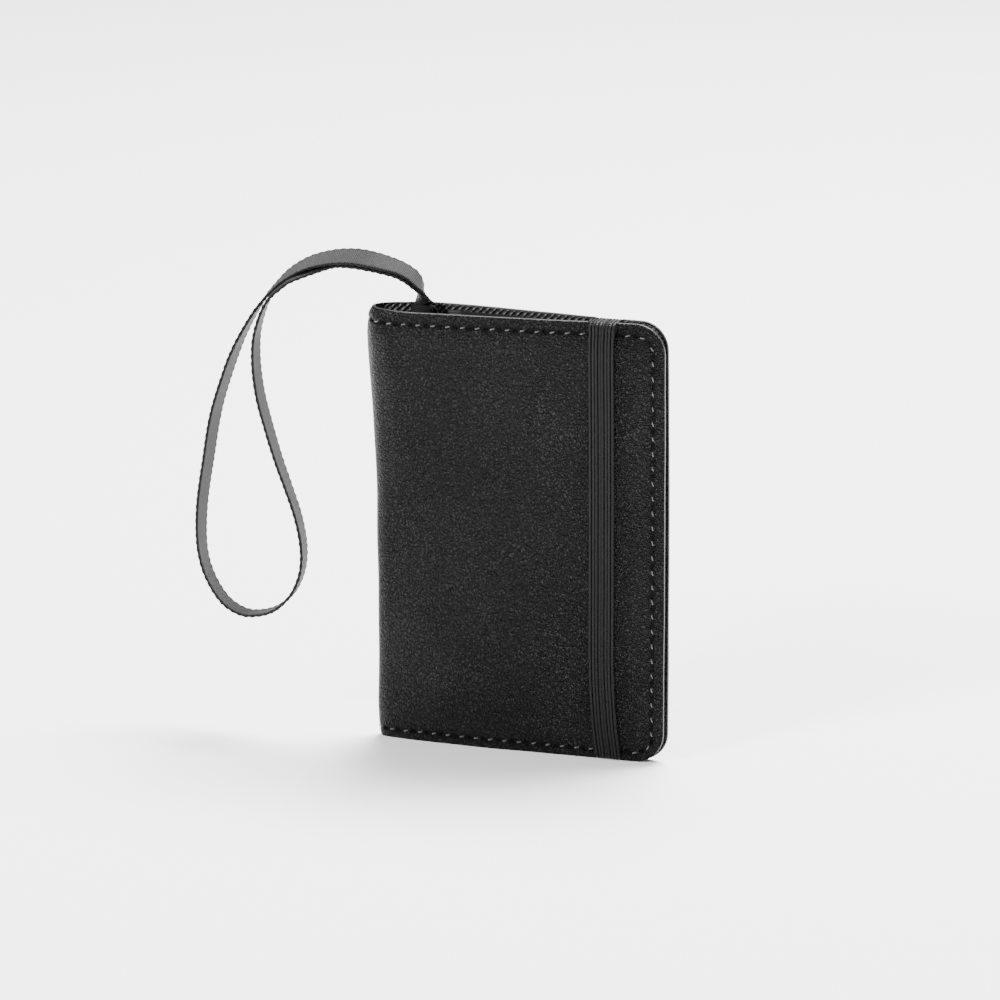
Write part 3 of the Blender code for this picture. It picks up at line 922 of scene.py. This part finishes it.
def add_strap_tail():
    """The two ends of the webbing, one on the other, sewn to the rear lining below the exit."""
    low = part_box("strap_sewn_end")[0].z
    heights = np.linspace(low, HEIGHT + 0.0003, TAIL_ROWS)
    seat, _ = surface(np.full(TAIL_ROWS, s_at_x(TAIL_X, False)), heights, LINING_DEPTH + LINING_THICK)
    settle = ease((HEIGHT - heights) / 0.009)
    turn = EXIT_TURN * np.clip(1 - (HEIGHT - heights) / 0.006, 0, 1) ** 2
    across = np.stack([np.cos(turn), -np.sin(turn), np.zeros(TAIL_ROWS)], -1)
    route = strap_route()
    for number, ply, leaving in ((1, 0.5, route[0]), (2, 1.5, route[-1])):
        seated = seat[:, 1] - (0.00005 + STRAP_THICK * ply * 1.02)
        x = TAIL_X * settle + leaving.x * (1 - settle)
        y = seated * settle + leaving.y * (1 - settle)
        tail = ribbon(f"strap_end_{number}", np.stack([x, y, heights], -1), across, 0.05)
        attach(tail, "rear_cover")
        if number == 1:
            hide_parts("strap_sewn_end")


# ------------------------ elastic band

BAND_RIBS = 8
RIB_SAMPLES = 8
BAND_THICK = 0.0009
BAND_GAP = 0.00005
RIB_DEPTH = 0.00050
PAIR_DEPTH = 0.55
TURN_RADIUS = 0.0012
BAND_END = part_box("band_sewn_end_lower")[1].z
END_ROWS = 14


def corner_run(y, z, start, stop):
    """Stations round a corner of the band, with outward directions from start to stop degrees."""
    angles = np.radians(np.linspace(start, stop, 7))
    return [(y + TURN_RADIUS * math.cos(a), z + TURN_RADIUS * math.sin(a), math.cos(a), math.sin(a))
            for a in angles]


def band_y(z, front):
    """Where the band lies on the front or the rear cover: it sinks a little into the stitched edge."""
    shift = band_middle(z) - BAND_X
    s = s_at_x(BAND_X, front) + (shift if front else -shift)
    depth = skin_depth(s, np.clip(z, 0.004, HEIGHT - 0.004)) * 0.6
    point, _ = surface(s, np.clip(z, 0, HEIGHT), depth)
    return point[..., 1]


def band_stations():
    """(y, z, outward y, outward z) along the band, from its lower sewn end to its upper one."""
    r = TURN_RADIUS
    low, high = BAND_THICK, HEIGHT - BAND_THICK
    climb = np.concatenate([[0.0, 0.0004, 0.0009], np.arange(0.0015, 0.006, 0.0006)])
    z_lower = np.linspace(BAND_END, low + r, END_ROWS)
    z_front = np.concatenate([low + r + climb, np.arange(low + r + 0.007, high - r - 0.007, 0.0016),
                              high - r - climb[::-1]])
    z_upper = np.linspace(high - r, HEIGHT - BAND_END, END_ROWS)
    y_lower, y_front, y_upper = band_y(z_lower, False), band_y(z_front, True), band_y(z_upper, False)
    stations = [(y, z, 1.0, 0.0) for y, z in zip(y_lower, z_lower)]
    stations += corner_run(y_lower[-1] - r, low + r, 0, -90)
    stations += [(y, low, 0.0, -1.0) for y in np.linspace(y_lower[-1] - r, y_front[0] + r, 6)[1:-1]]
    stations += corner_run(y_front[0] + r, low + r, -90, -180)
    stations += [(y, z, -1.0, 0.0) for y, z in zip(y_front, z_front)]
    stations += corner_run(y_front[-1] + r, high - r, 180, 90)
    stations += [(y, high, 0.0, 1.0) for y in np.linspace(y_front[-1] + r, y_upper[0] - r, 8)[1:-1]]
    stations += corner_run(y_upper[0] - r, high - r, 90, 0)
    stations += [(y, z, 1.0, 0.0) for y, z in zip(y_upper, z_upper)]
    return np.array(stations)


def add_band():
    """The band's free loop and its two sewn ends, with grooves that pair its ribs."""
    stations = band_stations()
    heights = stations[:, 1]
    centre = np.stack([band_middle(heights), stations[:, 0], heights], -1)
    outward = np.stack([np.zeros(len(stations)), stations[:, 2], stations[:, 3]], -1)
    travelled = distances(centre)
    over = np.maximum(1 - np.abs(HEIGHT - heights) / BAND_SPREAD_HEIGHT, 0)
    half = BAND_HALF + BAND_SPREAD * over**2

    spots = np.linspace(-1, 1, BAND_RIBS * RIB_SAMPLES + 1)
    phase = (spots + 1) / 2 * BAND_RIBS
    paired = np.where(np.round(phase) % 2 == 1, 1.0, PAIR_DEPTH)
    groove = paired * (1 - np.abs(np.sin(math.pi * phase)) ** 0.6)
    middle = centre[:, None, :] + (half[:, None] * spots)[..., None] * (1.0, 0.0, 0.0)
    front_face = middle + (BAND_THICK - RIB_DEPTH * groove)[None, :, None] * outward[:, None, :]
    back_face = middle + BAND_GAP * outward[:, None, :]
    points = np.concatenate([front_face, back_face[:, ::-1]], axis=1)
    # How deep each point of the front face lies in a groove; the elastic's colour darkens with it as painted
    # shade.
    pressed = np.concatenate([0.75 * groove**1.5, np.zeros(len(spots))])
    flat = strip_flat(np.concatenate([spots, spots[::-1]]) * BAND_HALF, travelled)
    rows = len(stations)
    parts = (("band_end_lower", 0, END_ROWS), ("band_loop", END_ROWS - 1, rows - END_ROWS + 1),
             ("band_end_upper", rows - END_ROWS, rows))
    for name, first, last in parts:
        count = last - first
        faces = tube_faces(count, 2 * len(spots))
        piece = new_piece(name, points[first:last].reshape(-1, 3), faces, ELASTIC,
                          flat[first:last].reshape(-1, 3), np.tile(pressed, count), sharp_deg=60.0)
        if name == "band_loop":
            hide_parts("elastic_band")
            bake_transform(piece)
        else:
            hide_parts(name.replace("band_end", "band_sewn_end"))
            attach(piece, "rear_cover")


# ------------------------ lining, boards, foam and pockets

LAYER_GAP = 0.00003
LINING_INSET = 0.0013
LINING_DROP = 0.0004
FILLING_INSET = 0.0068
FILLING_CORNER = 0.003
FOLD_MARGIN = 0.0105
POCKET_INSET = 0.0020
TALL_POCKET = 0.12
HEM_HALF = 0.0017
HEM_RISE = 0.00020


def cut_width(first, last, depth):
    """The flat width of a sheet that lies at this depth, on average over its height."""
    widths = []
    for height in np.linspace(0.1, 0.9, 5) * HEIGHT:
        line, _ = surface(np.linspace(first, last, 60), np.full(60, height), np.full(60, depth))
        widths.append(np.linalg.norm(np.diff(line, axis=0), axis=1).sum())
    return float(np.mean(widths))


def add_lining(part, replaced):
    """The lining of a cover or of the spine; returns it with the size of its flat piece."""
    first, last = SEAMS[part]
    first, last = max(first, LINING_INSET), min(last, GIRTH - LINING_INSET)
    low, high = LINING_INSET, HEIGHT - LINING_DROP
    columns = np.linspace(first, last, max(8, round((last - first) / 0.0011)))
    rows = np.linspace(low, high, 120)
    s, z = sheet_points(columns, rows, low, high, CORNER[part] - LINING_INSET, LINING_INSET)
    share = spine_share(s)
    outer = LINING_DEPTH * (1 - share) + SPINE_LINING_DEPTH * share
    outer = np.maximum(outer, skin_inner(s, z, skin_depth(s, z)) + LAYER_GAP)
    piece = shell(f"{part}_twill_lining", s, z, outer, outer + LINING_THICK, TWILL)
    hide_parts(*replaced)
    bend(piece)
    return piece, (cut_width(first, last, LINING_DEPTH), high - low)


def cover_span(side, inset, inner, count):
    """s values on a cover, between its fore edge's inset and the inner end."""
    ends = (inner, GIRTH - inset) if side == "front" else (inset, inner)
    return np.linspace(*ends, count)


def add_filling(name, side, kind, depth, thick, material):
    """The foam pad or the board inside a cover. The foam's edges are softer."""
    low, high = FILLING_INSET, HEIGHT - FILLING_INSET
    inner = SEAM_FRONT + FOLD_MARGIN if side == "front" else SEAM_REAR - FOLD_MARGIN
    columns = cover_span(side, FILLING_INSET, inner, 60)
    rows = np.linspace(low, high, 80)
    s, z = sheet_points(columns, rows, low, high, FILLING_CORNER, FILLING_INSET, notched=False)
    base = np.maximum(depth, skin_depth(s, z) + depth - 0.00002)
    edge = np.minimum(edge_distance(s, z) - FILLING_INSET, 0.001) / 0.001
    soften = thick * 0.35 * (1 - ease(edge)) if kind == "foam" else 0.0
    piece = shell(name, s, z, base + soften, base + thick, material)
    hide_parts(f"{side}_cover_{kind}")
    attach(piece, f"{side}_cover")


def add_pocket(node_name, side, depth, thick, hemmed):
    """A pocket of the lining side. A hemmed one has a thicker roll along its mouth."""
    corner_low, corner_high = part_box(node_name)
    first_x, low, high = corner_low.x, corner_low.z, corner_high.z
    columns = cover_span(side, POCKET_INSET, s_at_x(first_x, side == "front"), 90)
    rows = np.concatenate([np.linspace(low, high - 0.0035, 90), np.linspace(high - 0.0032, high, 12)])
    tall = high > TALL_POCKET
    rounded_to = high if tall else 2 * HEIGHT
    corner = CORNER[side] - POCKET_INSET
    s, z = sheet_points(columns, rows, low, rounded_to, corner, POCKET_INSET, notched=tall)
    hem = np.clip(1 - np.abs(high - 0.0016 - z) / HEM_HALF, 0, 1) ** 0.5 if hemmed else 0.0
    sag = 0.00004 * (1 + np.sin(s / MM / 7.0) + np.sin(z / MM / 9.0 + s / MM / 15.0))
    inner = depth + thick + HEM_RISE * hem + sag
    piece = shell(f"{node_name}_nylon", s, z, np.full(s.shape, depth), inner, NYLON)
    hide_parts(node_name)
    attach(piece, f"{side}_cover")
    cut_width(columns[0], columns[-1], depth)


def add_inside():
    rear, rear_cut = add_lining("rear", ["rear_cover_lining"])
    spine, _ = add_lining("spine", ["spine_lining_rear", "spine_lining_front"])
    front, front_cut = add_lining("front", ["front_cover_lining"])
    for side in ("rear", "front"):
        add_filling(f"{side}_foam_pad", side, "foam", 0.00085, 0.0004, FOAM)
        add_filling(f"{side}_board", side, "board", 0.00130, 0.0003, BOARD)
    add_pocket("passport_sleeve", "rear", 0.00200, 0.00020, hemmed=False)
    for number, name in enumerate(("slip_pocket", "card_pocket_upper", "card_pocket_lower")):
        add_pocket(name, "front", 0.00200 + 0.00028 * number, 0.00018, hemmed=True)
    add_binding()


def add_binding():
    """Tape folded over the mouth of the passport sleeve."""
    sleeve_low, sleeve_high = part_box("passport_sleeve")
    mouth = s_at_x(sleeve_low.x, False)
    columns = mouth + np.array([-0.0042, -0.0041, -0.0039, -0.002, 0.0, 0.0004, 0.0006])
    s, z = np.meshgrid(columns, np.linspace(sleeve_low.z, sleeve_high.z, 90))
    outer = np.full(s.shape, 0.00226)
    swell = np.array([0.0, 0.00012, 0.0002, 0.00024, 0.0002, 0.00012, 0.0])
    piece = shell("sleeve_binding_tape", s, z, outer, outer + 0.00006 + swell, TAPE)
    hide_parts("passport_sleeve_binding")
    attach(piece, "rear_cover")


# ------------------------ the whole wallet

add_camera()
add_stage()
add_strap()
add_strap_tail()
add_skin("rear", ["rear_cover_leather"])
add_skin("spine", ["spine_leather_rear", "spine_leather_front"])
add_skin("front", ["front_cover_leather"])
add_band()
add_inside()
